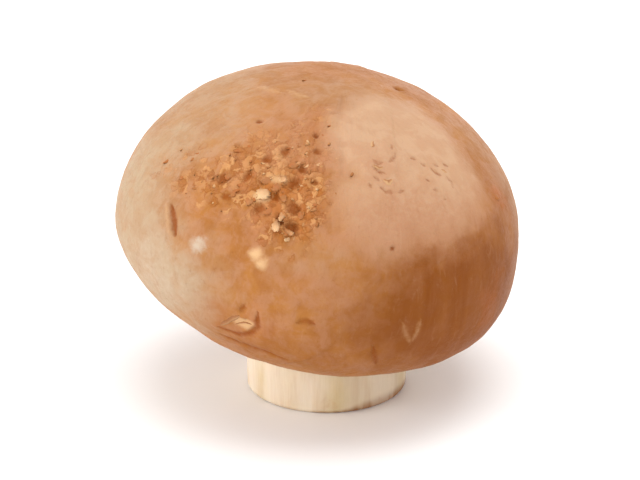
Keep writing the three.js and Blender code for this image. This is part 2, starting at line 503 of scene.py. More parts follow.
crown_point = cap_surface(np.array(0.0), np.array(0.0))
crown_point = crown_point + np.array((math.sin(CAP_LEAN), 0, math.cos(CAP_LEAN))) * relief[0].mean()
foot_point = cap_surface(np.array(0.0), np.array(AXIS_DOWN))
cap_mesh = skin_mesh("cap", skin_points, crown_point, foot_point)
torn = np.maximum.reduce((spots(TORN_AND_GLINTS), 0.6 * flap_floor, 0.35 * crown_streaks, 0.32 * pale_marks))
# Brown marks in the skin. The dark in the folds, under the flap and along the first margin line is
# painted shade.
dark = np.maximum.reduce(
    (0.8 * slit, 0.7 * pits, 0.8 * flap_shade, 0.45 * dry_lines, 0.6 * margin_cuts_and_shadow, 0.1 * folds)
)
edge_pale = smoothstep(down_grid + 0.8 * wobble[..., 0], MARGIN_DOWN + 0.6 * mm, LIP_DOWN)
for name, grid in (
    ("scaly", scaly),
    ("pale", pale),
    ("fair", fair),
    ("rosy", rosy),
    # A thin line of painted shade along the pale patch's left edge is added to the rust brown.
    ("rusty", np.maximum(rusty, 0.2 * patch_edge)),
    ("flushed", np.maximum.reduce((flushed, 0.2 * slit_border, 0.4 * flap_rim))),
    ("torn", torn),
    ("chalky", spots(CHALK_AND_GLINTS)),
    ("dark", dark),
    ("edge_pale", edge_pale),
):
    store(cap_mesh, name, grid, grid[0].mean(), 1.0)

cap = new_object(cap_mesh, "cap_skin")


def colour(red, green, blue):
    """A colour given as 0 to 255, for a shader."""
    return tuple(
        c / 12.92 if c <= 0.04045 else ((c + 0.055) / 1.055) ** 2.4
        for c in (red / 255, green / 255, blue / 255)
    ) + (1.0,)


def fill(tree, node, inputs):
    """Gives a node's inputs numbers or other nodes' outputs."""
    for key, value in inputs.items():
        if isinstance(value, bpy.types.NodeSocket):
            tree.links.new(value, node.inputs[key])
        else:
            node.inputs[key].default_value = value


def add(tree, kind, inputs=None, **settings):
    """Adds a node with its settings and inputs."""
    made = tree.nodes.new(kind)
    for name, value in settings.items():
        setattr(made, name, value)
    fill(tree, made, inputs or {})
    return made


def result(tree, kind, inputs, **settings):
    """The first output of a new node."""
    return add(tree, kind, inputs, **settings).outputs[0]


def mix(tree, share, under, over):
    """One colour over another by a share from 0 to 1."""
    return add(tree, "ShaderNodeMix", {0: share, 6: under, 7: over}, data_type="RGBA").outputs[2]


def maths(tree, operation, first, second):
    """One sum of two numbers."""
    return result(tree, "ShaderNodeMath", {0: first, 1: second}, operation=operation)


def times(tree, first, second):
    """One number times another."""
    return maths(tree, "MULTIPLY", first, second)


def plus(tree, first, second):
    """One number added to another."""
    return maths(tree, "ADD", first, second)


def remap(tree, value, low, high, new_low=0.0, new_high=1.0):
    """A number brought smoothly from one range to another."""
    ends = {"Value": value, "From Min": low, "From Max": high, "To Min": new_low, "To Max": new_high}
    return result(tree, "ShaderNodeMapRange", ends, interpolation_type="SMOOTHSTEP")


def stored(tree, name):
    """The value that a mesh keeps at each point."""
    return add(tree, "ShaderNodeAttribute", attribute_name=name).outputs["Fac"]


def grown_noise(tree, where, scale, detail, roughness, distortion=0.0):
    """Noise from 0 to 1 at a place."""
    inputs = {"Vector": where, "Scale": scale, "Detail": detail}
    inputs |= {"Roughness": roughness, "Distortion": distortion}
    return add(tree, "ShaderNodeTexNoise", inputs).outputs["Fac"]


def new_material(name):
    """An empty material with a shader and its output."""
    material = bpy.data.materials.new(name)
    material.use_nodes = True
    material.node_tree.nodes.clear()
    shader = material.node_tree.nodes.new("ShaderNodeBsdfPrincipled")
    output = material.node_tree.nodes.new("ShaderNodeOutputMaterial")
    material.node_tree.links.new(shader.outputs["BSDF"], output.inputs["Surface"])
    return material, material.node_tree, shader


def cap_frame(tree):
    """The place on the cap in mm, with the crown straight above the middle."""
    place = add(tree, "ShaderNodeTexCoord").outputs["Object"]
    settings = {
        "Vector": place,
        "Location": (CAP_SHIFT_X, 0, CAP_LEVEL),
        "Rotation": (0, CAP_LEAN, 0),
        "Scale": (mm, mm, mm),
    }
    return result(tree, "ShaderNodeMapping", settings, vector_type="TEXTURE")


def fibre_place(tree, place, round_count, along_scale):
    """A place drawn out into lines that run from the crown to the margin."""
    parts = add(tree, "ShaderNodeSeparateXYZ", {0: place})
    level = result(tree, "ShaderNodeCombineXYZ", {0: parts.outputs[0], 1: parts.outputs[1]})
    ring = result(tree, "ShaderNodeVectorMath", {0: level}, operation="NORMALIZE")
    spread = result(tree, "ShaderNodeVectorMath", {0: ring, "Scale": round_count}, operation="SCALE")
    drawn = times(tree, parts.outputs[2], along_scale)
    height = result(tree, "ShaderNodeCombineXYZ", {2: drawn})
    return result(tree, "ShaderNodeVectorMath", {0: spread, 1: height}, operation="ADD")


def finish(tree, shader, base, roughness, specular, glow=None, relief=None):
    """Fills in a shader. Glow is how much light goes in, which light, and how many mm; relief is a
    height, its strength and its depth in mm."""
    looks = {"Base Color": base, "Roughness": roughness, "Specular IOR Level": specular}
    if glow:
        looks |= {"Subsurface Weight": glow[0], "Subsurface Radius": glow[1]}
        looks["Subsurface Scale"] = glow[2] * mm
    if relief:
        bump = {"Height": relief[0], "Strength": relief[1], "Distance": relief[2] * mm}
        looks["Normal"] = result(tree, "ShaderNodeBump", bump)
    fill(tree, shader, looks)


SKIN_OCHRE = colour(153, 96, 45)
SKIN_GOLD = colour(166, 108, 51)
SKIN_ROSE = colour(174, 124, 92)
SKIN_FAIR = colour(172, 146, 117)
SKIN_PALE = colour(190, 153, 122)
SKIN_RUST = colour(160, 92, 38)
SKIN_DEEP = colour(122, 62, 8)
SKIN_EMBER = colour(169, 89, 31)
SCALE_GOLD = colour(204, 152, 100)
GAP_BROWN = colour(134, 64, 6)
FLESH_CREAM = colour(206, 166, 122)
FLESH_WHITE = colour(187, 167, 146)


def frayed(tree, share, noise_value, roughness=0.8, low=0.4, high=0.62):
    """A share from 0 to 1 whose soft edge is broken up by noise."""
    pull = times(tree, maths(tree, "SUBTRACT", noise_value, 0.5), roughness)
    return remap(tree, plus(tree, share, pull), low, high)


def skin_material():
    """Brown cap skin: mottled, faintly fibrous, broken into scales in places and paler where smooth."""
    material, tree, shader = new_material("cap_skin")
    place = cap_frame(tree)
    scaly_share = stored(tree, "scaly")
    pale_share = stored(tree, "pale")
    mottle = remap(tree, grown_noise(tree, place, 0.14, 4, 0.6, 0.6), 0.36, 0.64)
    cloud = remap(tree, grown_noise(tree, place, 0.42, 5, 0.62, 0.4), 0.36, 0.64)
    fine = grown_noise(tree, place, 2.0, 5, 0.7)
    crisp = grown_noise(tree, place, 1.3, 6, 0.72, 0.5)
    bands = grown_noise(tree, fibre_place(tree, place, 9, 0.05), 1.0, 3, 0.6, 0.6)
    fibres = grown_noise(tree, fibre_place(tree, place, 30, 0.45), 1.0, 5, 0.7, 0.8)

    base = mix(tree, mottle, SKIN_OCHRE, SKIN_GOLD)
    base = mix(tree, times(tree, cloud, 0.6), base, SKIN_ROSE)
    # Paler, greyer skin where fair: partly a painted highlight along the right rim and painted sheen on
    # the lit left side.
    fair_and_sheen_share = times(tree, stored(tree, "fair"), remap(tree, cloud, 0, 1, 0.75, 1.0))
    base = mix(tree, fair_and_sheen_share, base, SKIN_FAIR)
    # Deeper brown where rusty: partly rust brown, partly painted shade on the lower right and along the
    # pale patch's edge.
    rust_and_shade_share = times(tree, stored(tree, "rusty"), remap(tree, bands, 0.25, 0.75, 0.78, 1.0))
    base = mix(tree, rust_and_shade_share, base, SKIN_DEEP)
    base = mix(tree, frayed(tree, stored(tree, "flushed"), crisp, 0.5, 0.1, 1.1), base, SKIN_EMBER)

    warp = add(tree, "ShaderNodeTexNoise", {"Vector": place, "Scale": 0.8, "Detail": 4.0})
    pushed = {0: warp.outputs["Color"], 1: (2.4, 2.4, 2.4), 2: place}
    warped = result(tree, "ShaderNodeVectorMath", pushed, operation="MULTIPLY_ADD")
    cells = {"Vector": warped, "Scale": 0.95, "Randomness": 1.0}
    gaps = add(tree, "ShaderNodeTexVoronoi", cells, feature="DISTANCE_TO_EDGE").outputs["Distance"]
    cell_colour = add(tree, "ShaderNodeTexVoronoi", cells, feature="F1").outputs["Color"]
    cell_parts = add(tree, "ShaderNodeSeparateColor", {0: cell_colour})
    cell_tone, cell_lift = cell_parts.outputs[0], cell_parts.outputs[1]
    broken = frayed(tree, scaly_share, cell_lift, 0.7, 0.3, 0.8)
    gap_width = plus(tree, gaps, times(tree, crisp, 0.45))
    gap_shape = remap(tree, gap_width, 0.36, 0.2)
    gap_share = times(tree, times(tree, gap_shape, broken), 0.52)
    base = mix(tree, times(tree, broken, 0.35), base, SKIN_RUST)
    light_cell = times(tree, broken, remap(tree, cell_tone, 0.2, 1.0, 0.0, 0.6))
    base = mix(tree, light_cell, base, SCALE_GOLD)
    base = mix(tree, gap_share, base, SKIN_DEEP)

    pale_tone = times(tree, pale_share, remap(tree, cloud, 0, 1, 1.0, 0.72))
    base = mix(tree, pale_tone, base, SKIN_PALE)
    rosy_share = times(tree, stored(tree, "rosy"), remap(tree, crisp, 0.35, 0.6, 0.4, 0.9))
    base = mix(tree, rosy_share, base, SKIN_ROSE)
    calm = remap(tree, pale_share, 0, 1, 1, 0.35)
    dark_fibres = times(tree, remap(tree, fibres, 0.5, 0.75, 0, 0.2), calm)
    base = mix(tree, dark_fibres, base, SKIN_DEEP)
    base = mix(tree, remap(tree, fibres, 0.46, 0.3, 0.0, 0.1), base, SKIN_PALE)
    base = mix(tree, times(tree, remap(tree, fine, 0.56, 0.76, 0, 0.3), calm), base, SKIN_DEEP)

    # Cream where bare flesh shows; two of the spots are painted highlights that stand for glints.
    base = mix(tree, frayed(tree, stored(tree, "torn"), crisp, 0.6, 0.05, 0.95), base, FLESH_CREAM)
    # Whitish where chalky: a painted highlight spot, and partly painted sheen on the lower left.
    base = mix(tree, frayed(tree, stored(tree, "chalky"), crisp, 0.8, 0.1, 0.9), base, FLESH_WHITE)
    # Dark brown marks; in the folds, under the flap and along the first margin line this is painted
    # shade.
    dark_share = frayed(tree, stored(tree, "dark"), crisp, 1.0, 0.1, 0.85)
    base = mix(tree, times(tree, dark_share, 0.85), base, GAP_BROWN)
    base = mix(tree, stored(tree, "edge_pale"), base, FLESH_CREAM)

    roughness = remap(tree, fine, 0.3, 0.7, 0.44, 0.6)
    roughness = plus(tree, roughness, times(tree, scaly_share, 0.12))
    height = times(tree, fibres, 0.2)
    height = plus(tree, height, times(tree, fine, 0.45))
    height = plus(tree, height, times(tree, cloud, 0.4))
    dome = times(tree, remap(tree, gaps, 0.0, 0.3), remap(tree, cell_lift, 0, 1, 0.3, 1.2))
    height = plus(tree, height, times(tree, dome, broken))
    height = maths(tree, "SUBTRACT", height, dark_share)
    finish(tree, shader, base, roughness, 0.09, (0.1, (1.0, 0.45, 0.2), 1.0), (height, 0.6, 0.16))
    return material


cap_mesh.materials.append(skin_material())
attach(cap, "root")
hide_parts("cap")

# ---- Scales --------------------------------------------------------------------------------------
# Where the skin has split, its top layer stands up in small brown scales. Each is a thin tongue of
# skin, held at the side nearest the crown and lifting towards the margin.

FLAKE_LENGTH = 1.2 * mm
FLAKE_WIDTH = 0.9 * mm
FLAKE_THICKNESS = 0.12 * mm


def tongue(length, width, thickness, lift, curl, ragged, seed, steps, across):
    """A closed thin tongue along +Y that rises from its root at the origin and curls by an angle."""
    rng = np.random.default_rng(seed)
    edge_wobble = rng.uniform(-ragged, ragged, (steps + 1, 2))
    rise, y, z = lift, -0.12 * length, -0.6 * thickness
    upper, lower = [], []
    for i in range(steps + 1):
        share = i / steps
        half = 0.5 * width * (0.55 + 0.75 * math.sin(math.pi * (0.12 + 0.74 * share)) ** 0.8)
        half *= 1 - 0.55 * share**3
        row_over, row_under = [], []
        for j in range(across + 1):
            side = 2 * j / across - 1
            shift = edge_wobble[i, 0 if side < 0 else 1] * abs(side) * width
            droop = -0.18 * width * side * side * share
            rim = i in (0, steps) or j in (0, across)
            body = 0 if rim else 0.5 * thickness * (1 - 0.4 * share)
            tip = edge_wobble[i, 1] * 0.8 * length * share**2 * (1 - abs(side))
            row_over.append((side * half + shift, y + tip, z + droop + body))
            row_under.append((side * half + shift, y + tip, z + droop - body))
        upper.append(row_over)
        lower.append(row_under)
        rise += curl / steps
        y += math.cos(rise) * length / steps
        z += math.sin(rise) * length / steps
    return closed_sheet(upper, lower)


def closed_sheet(upper, lower):
    """Corners and faces of a thin shell between two grids that share their rim."""
    rows, columns = len(upper), len(upper[0])
    corners = [p for row in upper for p in row]
    under = {}
    for i in range(rows):
        for j in range(columns):
            if i in (0, rows - 1) or j in (0, columns - 1):
                under[i, j] = i * columns + j
            else:
                under[i, j] = len(corners)
                corners.append(lower[i][j])
    faces = []
    for i in range(rows - 1):
        for j in range(columns - 1):
            a = i * columns + j
            faces.append((a, a + 1, a + columns + 1, a + columns))
            faces.append((under[i, j], under[i + 1, j], under[i + 1, j + 1], under[i, j + 1]))
    return corners, faces


FLAKES = (  # name, seed, lift, curl
    ("flake_flat", 11, 0.06, 0.0),
    ("flake_lifted", 12, 0.12, 0.15),
    ("flake_domed", 13, 0.2, -0.5),
    ("flake_sunk", 14, 0.02, -0.05),
)
flakes = []
for name, seed, lift, curl in FLAKES:
    shape = tongue(FLAKE_LENGTH, FLAKE_WIDTH, FLAKE_THICKNESS, lift, curl, 0.16, seed, steps=4, across=3)
    flakes.append(new_object(smooth_mesh(name, *shape)))


def scale_material():
    """A scale is skin whose outer face is brown and whose lifted edge is dry and paler."""
    material, tree, shader = new_material("scale_skin")
    place = cap_frame(tree)
    tone = stored(tree, "tone")
    fine = grown_noise(tree, place, 2.2, 4, 0.65)
    hairs = grown_noise(tree, fibre_place(tree, place, 80, 0.5), 1.0, 3, 0.6)
    base = mix(tree, remap(tree, tone, 0.0, 0.6), SKIN_RUST, SKIN_OCHRE)
    base = mix(tree, remap(tree, tone, 0.5, 0.8, 0.0, 0.4), base, SCALE_GOLD)
    base = mix(tree, remap(tree, tone, 0.8, 1.0, 0.0, 0.6), base, FLESH_CREAM)
    base = mix(tree, remap(tree, fine, 0.48, 0.7, 0.0, 0.35), base, SKIN_RUST)
    base = mix(tree, remap(tree, hairs, 0.55, 0.75, 0.0, 0.3), base, SKIN_DEEP)
    roughness = remap(tree, fine, 0.3, 0.7, 0.5, 0.75)
    finish(tree, shader, base, roughness, 0.35, (0.1, (1.0, 0.45, 0.2), 0.6), (hairs, 0.4, 0.08))
    return material


def scatter_tree():
    """Scales set on a skin: as many as its scaly share asks for, all pointing downhill."""
    tree = bpy.data.node_groups.new("scatter_scales", "GeometryNodeTree")
    tree.interface.new_socket("Skin", in_out="INPUT", socket_type="NodeSocketGeometry")
    for name in ("Scales Per Area", "Stray Scales Per Area", "Smallest", "Largest", "Turn", "Tilt"):
        tree.interface.new_socket(name, in_out="INPUT", socket_type="NodeSocketFloat")
    tree.interface.new_socket("Seed", in_out="INPUT", socket_type="NodeSocketInt")
    tree.interface.new_socket("Scale Material", in_out="INPUT", socket_type="NodeSocketMaterial")
    tree.interface.new_socket("Scales", in_out="OUTPUT", socket_type="NodeSocketGeometry")
    given = tree.nodes.new("NodeGroupInput").outputs
    seed = given["Seed"]

    def kept(name, data_type="FLOAT"):
        return result(tree, "GeometryNodeInputNamedAttribute", {"Name": name}, data_type=data_type)

    def chance(low, high, step):
        inputs = {2: low, 3: high, "Seed": plus(tree, seed, float(step))}
        return add(tree, "FunctionNodeRandomValue", inputs, data_type="FLOAT").outputs[1]

    dense = times(tree, kept("scaly"), given["Scales Per Area"])
    stray = times(tree, kept("stray"), given["Stray Scales Per Area"])
    spread = {"Mesh": given["Skin"], "Density": plus(tree, dense, stray), "Seed": seed}
    points = add(tree, "GeometryNodeDistributePointsOnFaces", spread, distribute_method="RANDOM")

    aligned = {"Rotation": points.outputs["Rotation"], "Vector": kept("downhill", "FLOAT_VECTOR")}
    facing = result(tree, "FunctionNodeAlignRotationToVector", aligned, axis="Y", pivot_axis="Z")
    other_way = times(tree, given["Turn"], -1.0)
    angles = {0: chance(0.0, given["Tilt"], 1), 2: chance(other_way, given["Turn"], 2)}
    swing = result(tree, "FunctionNodeEulerToRotation", {0: result(tree, "ShaderNodeCombineXYZ", angles)})
    turns = {"Rotation": facing, "Rotate By": swing}
    turned = result(tree, "FunctionNodeRotateRotation", turns, rotation_space="LOCAL")
    long_way = chance(given["Smallest"], given["Largest"], 3)
    wide_way = times(tree, long_way, chance(0.55, 1.2, 4))
    size = result(tree, "ShaderNodeCombineXYZ", {0: wide_way, 1: long_way, 2: chance(0.7, 1.3, 5)})

    shapes = tree.nodes.new("GeometryNodeJoinGeometry")
    for flake in flakes:
        shape = add(tree, "GeometryNodeObjectInfo", {"Object": flake, "As Instance": True})
        tree.links.new(shape.outputs["Geometry"], shapes.inputs[0])
    choice = {4: 0, 5: len(flakes) - 1, "Seed": plus(tree, seed, 6.0)}
    which = add(tree, "FunctionNodeRandomValue", choice, data_type="INT").outputs[2]
    placing = {"Points": points.outputs["Points"], "Instance": shapes.outputs[0]}
    placing |= {"Pick Instance": True, "Instance Index": which, "Rotation": turned, "Scale": size}
    placed = result(tree, "GeometryNodeInstanceOnPoints", placing)
    tones = {"Geometry": placed, "Name": "tone", "Value": chance(0.0, 1.0, 7)}
    toned = result(tree, "GeometryNodeStoreNamedAttribute", tones, data_type="FLOAT", domain="INSTANCE")
    realised = result(tree, "GeometryNodeRealizeInstances", {0: toned})
    painting = {"Geometry": realised, "Material": given["Scale Material"]}
    painted = result(tree, "GeometryNodeSetMaterial", painting)
    tree.links.new(painted, tree.nodes.new("NodeGroupOutput").inputs[0])
    return tree


def plain_mesh(carrier, name):
    """The mesh that a carrier's modifiers make, with the carrier removed."""
    seen = carrier.evaluated_get(bpy.context.evaluated_depsgraph_get())
    mesh = bpy.data.meshes.new_from_object(seen)
    mesh.name = name
    carrier.modifiers.clear()
    bpy.data.objects.remove(carrier)
    return mesh


CLEAR_OF_STRAYS = ((-25, 14, 8, 9), (-72, 17, 8, 9))
strays = noise_field(skin, 6 * mm, 2, 9)
for place in CLEAR_OF_STRAYS:
    strays -= 2 * patch(*place)
above_margin = 1 - smoothstep(down_grid, MARGIN_DOWN - 3 * mm, MARGIN_DOWN)
store(cap_mesh, "stray", (1 - pale) * smoothstep(strays, -0.1, 0.5) * above_margin * shell)
downhill_attribute = cap_mesh.attributes.new("downhill", "FLOAT_VECTOR", "POINT")
downhill_values = np.vstack((skin_downhill.reshape(-1, 3), (1, 0, 0), (1, 0, 0)))
downhill_attribute.data.foreach_set("vector", downhill_values.astype(np.float32).ravel())

carrier = new_object(cap_mesh.copy(), "scale_carrier")
scatter = carrier.modifiers.new("scatter_scales", "NODES")
scatter.node_group = scatter_tree()
scatter_values = {
    "Scales Per Area": 0.8 / mm**2,
    "Stray Scales Per Area": 0.006 / mm**2,
    "Smallest": 0.25,
    "Largest": 0.75,
    "Turn": 1.2,
    "Tilt": 0.03,
    "Seed": 5,
    "Scale Material": scale_material(),
}
for item in scatter.node_group.interface.items_tree:
    if item.name in scatter_values:
        scatter[item.identifier] = scatter_values[item.name]
scales = new_object(plain_mesh(carrier, "scales"))
for flake in flakes:
    bpy.data.objects.remove(flake)
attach(scales, "root")
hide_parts("cap")

# ---- Torn tongues --------------------------------------------------------------------------------
# A few larger tongues of skin and flesh stand up round the deepest tears, and one curls round a bare
# spot near the margin. They are cream where the flesh shows and brown where the skin is left on.

TONGUE_THICKNESS = 0.3 * mm

# Each is (azimuth, mm down from the crown, heading, length, width, lift, curl, cream): headings are
# degrees anticlockwise from straight downhill, lift and curl are in degrees, and cream is from 0 to 1.
TONGUES = (
    (-116.8, 22.2, 15, 1.9, 1.6, 6, 23, 1.0),
    (-115.6, 20.8, -60, 1.6, 0.9, 9, 27, 0.3),
    (-113.0, 19.9, 60, 1.7, 0.8, 8, 30, 0.6),
    (-111.8, 21.0, -20, 1.5, 1.0, 6, 24, 0.2),
    (-109.2, 22.2, 40, 1.4, 0.7, 10, 27, 0.3),
    (-107.2, 21.2, -50, 1.5, 0.7, 12, 27, 0.1),
    (-106.6, 24.0, -10, 2.0, 0.7, 12, 18, 0.6),
    (-109.0, 25.6, 30, 1.9, 0.9, 8, 24, 0.8),
    (-111.0, 24.2, -40, 1.5, 0.9, 6, 21, 0.2),
    (-105.2, 26.4, 80, 1.9, 0.6, 12, 27, 0.5),
    (-102.4, 26.5, -30, 1.7, 0.7, 10, 27, 0.7),
    (-101.2, 23.6, 10, 1.3, 0.8, 8, 21, 0.1),
    (-119.8, 23.8, 10, 1.3, 1.0, 6, 21, 0.3),
    (-121.6, 20.2, -20, 1.2, 0.9, 5, 21, 0.1),
    (-103.0, 18.4, 20, 1.4, 0.8, 6, 21, 0.1),
    (-108.8, 17.4, -30, 1.4, 0.9, 5, 21, 0.1),
    (-98.2, 21.8, 30, 1.2, 0.8, 5, 18, 0.0),
    (-131.5, 21.8, 0, 1.2, 0.9, 5, 18, 0.0),
    (-126.8, 23.6, 25, 1.2, 0.8, 5, 18, 0.1),
    (-113.4, 37.8, 10, 1.5, 1.9, 1, 6, 0.3),
    (-19.0, 23.4, 0, 1.7, 1.4, 3, 12, 0.1),
    (80.0, 23.0, 10, 1.9, 1.2, 9, 21, 0.5),
    (76.0, 25.0, -40, 1.7, 0.9, 9, 21, 0.3),
    (84.5, 21.6, 30, 1.5, 0.9, 8, 21, 0.1),
    (136.0, 29.0, 20, 1.4, 1.0, 3, 7, 0.2),
)


def stand_on_cap(azimuth, down, heading, corners):
    """Moves corners from their own axes to a place on the cap, turned to a heading there."""
    turn, depth = np.array(math.radians(azimuth)), np.array(down * mm)
    root = skin_place(turn, depth)
    across, downhill, outward = cap_axes(turn, depth)
    c, s = math.cos(math.radians(heading)), math.sin(math.radians(heading))
    forward = downhill * c + across * s
    sideways = np.cross(forward, outward)
    placed = np.array(corners)
    return root + placed[:, :1] * sideways + placed[:, 1:2] * forward + placed[:, 2:] * outward


def tongue_mesh():
    """All the tongues in one mesh, each with the share of it that is bare flesh."""
    corners, faces, bare = [], [], []
    for seed, (azimuth, down, heading, length, width, lift, curl, cream) in enumerate(TONGUES):
        sizes = (length * mm, width * mm, TONGUE_THICKNESS)
        bends = (math.radians(lift), math.radians(curl))
        shape, shape_faces = tongue(*sizes, *bends, 0.13, seed + 40, steps=9, across=6)
        start = len(corners)
        corners.extend(stand_on_cap(azimuth, down, heading, shape).tolist())
        faces.extend(tuple(start + i for i in face) for face in shape_faces)
        bare.extend([cream * (0.5 + 0.7 * p[1] / (length * mm)) for p in shape])
    mesh = smooth_mesh("torn_tongues", corners, faces)
    keep_values(mesh, "bare", bare)
    return mesh


def tongue_material():
    """Cream flesh that dries to orange, with skin left at the root."""
    material, tree, shader = new_material("torn_flesh")
    place = cap_frame(tree)
    fine = grown_noise(tree, place, 1.4, 4, 0.65)
    reach = plus(tree, stored(tree, "bare"), times(tree, fine, 0.5))
    base = mix(tree, remap(tree, fine, 0.4, 0.65), SKIN_OCHRE, SKIN_RUST)
    base = mix(tree, remap(tree, reach, 0.35, 1.2), base, FLESH_CREAM)
    finish(tree, shader, base, 0.6, 0.35, (0.2, (1.0, 0.5, 0.25), 0.8), (fine, 0.4, 0.1))
    return material


tongues = new_object(tongue_mesh())
tongues.data.materials.append(tongue_material())
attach(tongues, "root")
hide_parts("cap")

# ---- Dry cracks ----------------------------------------------------------------------------------
# Beside a few of the dry lines the edge of the skin has lifted in a short pale ridge. Two longer
# ridges edge the torn flap.

# Each is (half width, height, tone, places): sizes in mm, tone from 0, brown, to 1, cream.
CRACKS = (
    (0.34, 0.08, 0.70, ((-71.4, 12.4), (-73.2, 13.4))),
    (0.34, 0.10, 0.70, ((-71.2, 18.2), (-69.4, 18.7), (-67.6, 18.2))),
    (0.34, 0.09, 0.70, ((-42.0, 18.0), (-39.8, 18.6))),
    (0.36, 0.09, 0.60, ((-74.6, 16.2), (-72.2, 16.7), (-70.0, 16.5))),
    (0.32, 0.10, 0.35, ((-122.0, 40.9), (-118.0, 39.6), (-114.5, 38.5))),
    (0.22, 0.10, 0.40, ((-117.0, 40.4), (-113.6, 39.6), (-111.2, 39.6))),
    (0.22, 0.08, 0.70, ((112.0, 16.0), (116.0, 16.6))),
)
RIDGE_BROWN = colour(148, 92, 44)
RIDGE_SHADE = colour(118, 62, 16)
RIDGE_TAN = colour(176, 122, 76)
CRACK_STEPS = 14
CRACK_SECTION = ((-1.0, -0.6), (-0.45, 0.75), (0.0, 1.0), (0.55, 0.45), (1.0, -0.6), (0.0, -1.8))


def crack_mesh():
    """All the ridges in one mesh, with the tone of each and where each point lies across it."""
    corners, faces, tones, sides = [], [], [], []
    sides_count = len(CRACK_SECTION)
    rng = np.random.default_rng(71)
    for half_width, height, tone, places in CRACKS:
        places = np.array(places)
        steps = CRACK_STEPS * (len(places) - 1)
        share = np.linspace(0, 1, steps + 1)
        knots = np.linspace(0, 1, len(places))
        azimuth = np.radians(np.interp(share, knots, places[:, 0]))
        down = np.interp(share, knots, places[:, 1]) * mm
        rounding = np.array((1, 2, 3, 2, 1)) / 9
        for _ in range(3):
            azimuth[2:-2] = np.convolve(azimuth, rounding, mode="valid")
            down[2:-2] = np.convolve(down, rounding, mode="valid")
        middle_line = skin_place(azimuth, down)
        outward = cap_axes(azimuth, down)[2]
        along = np.gradient(middle_line, axis=0)
        along /= np.linalg.norm(along, axis=1, keepdims=True)
        sideways = np.cross(along, outward)
        loose = np.convolve(rng.uniform(-1, 1, steps + 8), np.ones(8) / 8, mode="valid")
        fullness = (0.15 + 0.85 * np.sin(np.pi * share) ** 0.5) * (1 + 1.2 * loose)
        start = len(corners)
        for i in range(steps + 1):
            shift = 0.5 * loose[-1 - i] * half_width * mm
            for side, rise in CRACK_SECTION:
                offset = (side * half_width * mm * fullness[i] + shift) * sideways[i]
                offset = offset + rise * height * mm * fullness[i] * outward[i]
                corners.append(tuple(middle_line[i] + offset))
                tones.append(tone)
                sides.append(side)
        for i in range(steps):
            ring = start + i * sides_count
            for j in range(sides_count):
                after = (j + 1) % sides_count
                faces.append((ring + j, ring + sides_count + j, ring + sides_count + after, ring + after))
        faces.append(tuple(start + j for j in range(sides_count)))
        end = start + steps * sides_count
        faces.append(tuple(end + j for j in reversed(range(sides_count))))
    mesh = smooth_mesh("dry_cracks", corners, faces)
    keep_values(mesh, "tone", tones)
    keep_values(mesh, "side", sides)
    return mesh


def crack_material():
    """Dried skin, painted lit and shaded: brown and shaded on one side of each ridge, paler and lit on
    the other.
    """
    material, tree, shader = new_material("dry_crack")
    place = cap_frame(tree)
    fine = grown_noise(tree, place, 3.0, 4, 0.65)
    tone = stored(tree, "tone")
    light = mix(tree, tone, RIDGE_BROWN, FLESH_CREAM)
    shade = mix(tree, tone, RIDGE_SHADE, RIDGE_TAN)
    # How much of each ridge is painted as its lit side rather than its painted shaded side.
    lit_share = remap(tree, plus(tree, stored(tree, "side"), fine), 0.1, 1.1)
    finish(tree, shader, mix(tree, lit_share, shade, light), 0.62, 0.3)
    return material


cracks = new_object(crack_mesh())
cracks.data.materials.append(crack_material())
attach(cracks, "root")
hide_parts("cap")

# ---- Veil ----------------------------------------------------------------------------------------
# The veil is a thin cottony skin that still closes the gap between the rolled margin and the stem. It
# is pulled into fine folds that run outwards, and it ends in a low collar on the stem.

STEM_OVALNESS = 0.012
VEIL_COLUMNS = 320
COLLAR_DROP = 1.1 * mm
FOLD_RADIUS = 14 * mm
veil_azimuth = np.linspace(0, 2 * math.pi, VEIL_COLUMNS, endpoint=False)


def veil_rows():
    """Rows of points round the ring: out under the veil, in over it, and down the collar."""
    lip_ring = cap_surface(veil_azimuth, np.full(VEIL_COLUMNS, LIP_DOWN - 0.5 * mm))
    hidden_ring = cap_surface(veil_azimuth, np.full(VEIL_COLUMNS, LIP_DOWN + 0.4 * mm))
    hidden_ring[:, 2] += 0.6 * mm
    bearing = np.arctan2(lip_ring[:, 1], lip_ring[:, 0])
    stem_x = STEM_RADIUS * (1 + STEM_OVALNESS) * np.cos(bearing)
    stem_y = STEM_RADIUS * (1 - STEM_OVALNESS) * np.sin(bearing)
    stem_ring = np.column_stack((stem_x, stem_y, lip_ring[:, 2] + 0.9 * mm))
    rows = []
    for share in np.linspace(0, 1, 15):
        ring = lip_ring * (1 - share) + stem_ring * share
        rise = 0.9 * mm * math.sin(math.pi * share * 0.8) - COLLAR_DROP * smoothstep(share, 0.7, 1.0)
        ring[:, 2] = lip_ring[:, 2] + rise + 0.2 * mm
        if share > 0.85:
            squeeze = 1 + 0.25 * mm / STEM_RADIUS * (1 - share) / 0.15
            ring[:, :2] = stem_ring[:, :2] * squeeze
        rows.append(ring)
    inner = stem_ring.copy()
    inner[:, :2] *= 0.985
    inner[:, 2] = rows[-1][:, 2] + 0.15 * mm
    top = stem_ring.copy()
    top[:, :2] *= 0.985
    top[:, 2] += 1.2 * mm
    rows += [inner, top, hidden_ring]
    return np.array(rows)


